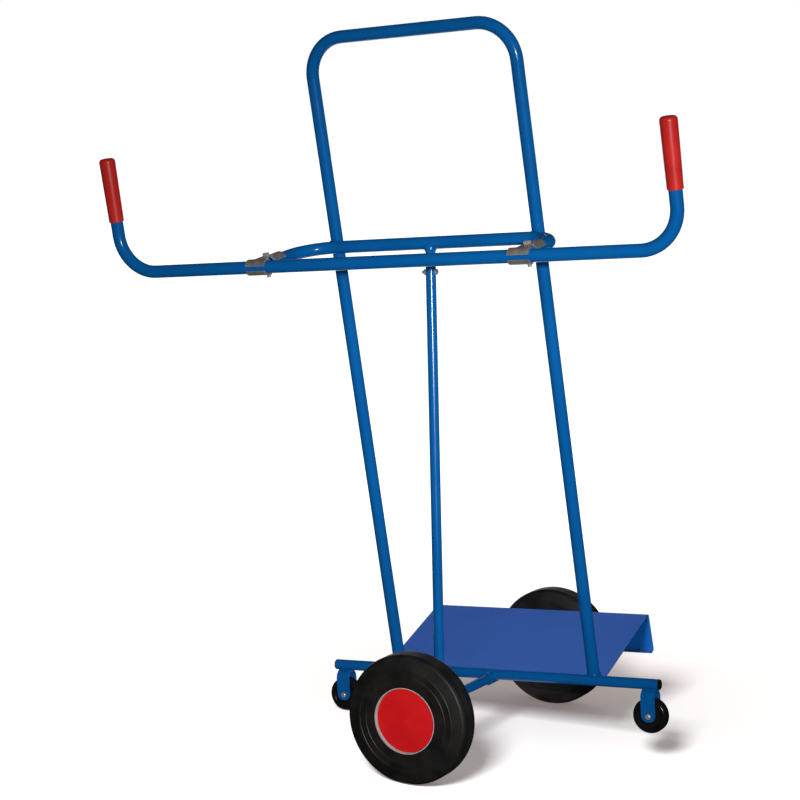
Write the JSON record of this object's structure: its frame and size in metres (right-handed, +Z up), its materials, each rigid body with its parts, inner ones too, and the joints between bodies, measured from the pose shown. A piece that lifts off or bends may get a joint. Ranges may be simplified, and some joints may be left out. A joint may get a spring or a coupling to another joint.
{
  "type": "panel cart",
  "caption": "Panel cart with a leaning tube frame, sloping sheet tray, big wheels on a cross axle, small end castors and a clamped wide handle bar with upright grips.",
  "frame": {"origin": "on the floor under the crossing of base tube and axle", "axes": "+X along the base tube seen from above, +Y along the axle towards the load, +Z up"},
  "size_m": [1.2134, 0.7323, 1.439],
  "materials": {
    "blue_paint": "gloss powder coat",
    "tray_paint": "satin powder coat",
    "red_grip": "gloss",
    "red_cap": "satin",
    "tyre_rubber": "matte",
    "black_plastic": "satin",
    "bush_plastic": "matte",
    "galvanised": "dull zinc",
    "zinc_steel": "bright zinc"
  },
  "bodies": {
    "frame": {"base_tube": "blue_paint", "base_plugs": "black_plastic", "axle_boss": "blue_paint", "axle_shaft": "blue_paint", "axle_collars": "blue_paint", "axle_washers": "zinc_steel", "split_pins": "zinc_steel", "strut_tube": "blue_paint", "strut_spigot": "blue_paint", "strut_bolt": "zinc_steel", "strut_nut": "zinc_steel", "tray": "tray_paint", "upright_frame": "blue_paint", "hoop_tube": "blue_paint", "clamp_bolts": "zinc_steel", "clamp_nuts": "zinc_steel", "castor_bolts": "zinc_steel", "castor_nuts": "zinc_steel", "castor_sleeves": "zinc_steel", "left_clamp_upper": "galvanised", "left_clamp_lower": "galvanised", "right_clamp_upper": "galvanised", "right_clamp_lower": "galvanised", "left_castor_fork": "blue_paint", "right_castor_fork": "blue_paint"},
    "handle": {"handle_bar": "blue_paint", "left_grip": "red_grip", "right_grip": "red_grip"},
    "front_wheel": {"front_tyre": "tyre_rubber", "front_rim_outer": "zinc_steel", "front_rim_inner": "zinc_steel", "front_rim_bolts": "zinc_steel", "front_rim_nuts": "zinc_steel", "front_hub_tube": "zinc_steel", "front_hub_bushes": "bush_plastic", "front_hub_cap": "red_cap"},
    "rear_wheel": {"rear_tyre": "tyre_rubber", "rear_rim_outer": "zinc_steel", "rear_rim_inner": "zinc_steel", "rear_rim_bolts": "zinc_steel", "rear_rim_nuts": "zinc_steel", "rear_hub_tube": "zinc_steel", "rear_hub_bushes": "bush_plastic", "rear_hub_cap": "red_cap"},
    "left_castor": {"left_castor_wheel": "black_plastic", "left_castor_bush": "bush_plastic"},
    "right_castor": {"right_castor_wheel": "black_plastic", "right_castor_bush": "bush_plastic"}
  },
  "joints": [
    {"name": "handle_turn", "type": "hinge", "parent": "frame", "child": "handle", "pos_m": [-0.086, -0.34617, 0.98247], "axis": [0.995, 0, 0.0998], "range_deg": [-90, 90]},
    {"name": "front_wheel_spin", "type": "hinge", "parent": "frame", "child": "front_wheel", "pos_m": [0, -0.346, 0.125], "axis": [0, 1, 0], "continuous": true},
    {"name": "rear_wheel_spin", "type": "hinge", "parent": "frame", "child": "rear_wheel", "pos_m": [0, 0.30737, 0.125], "axis": [0, 1, 0], "continuous": true},
    {"name": "left_castor_spin", "type": "hinge", "parent": "frame", "child": "left_castor", "pos_m": [-0.3367, 0, 0.035], "axis": [0, 1, 0], "continuous": true},
    {"name": "right_castor_spin", "type": "hinge", "parent": "frame", "child": "right_castor", "pos_m": [0.34787, 0, 0.10366], "axis": [0, 1, 0], "continuous": true}
  ]
}
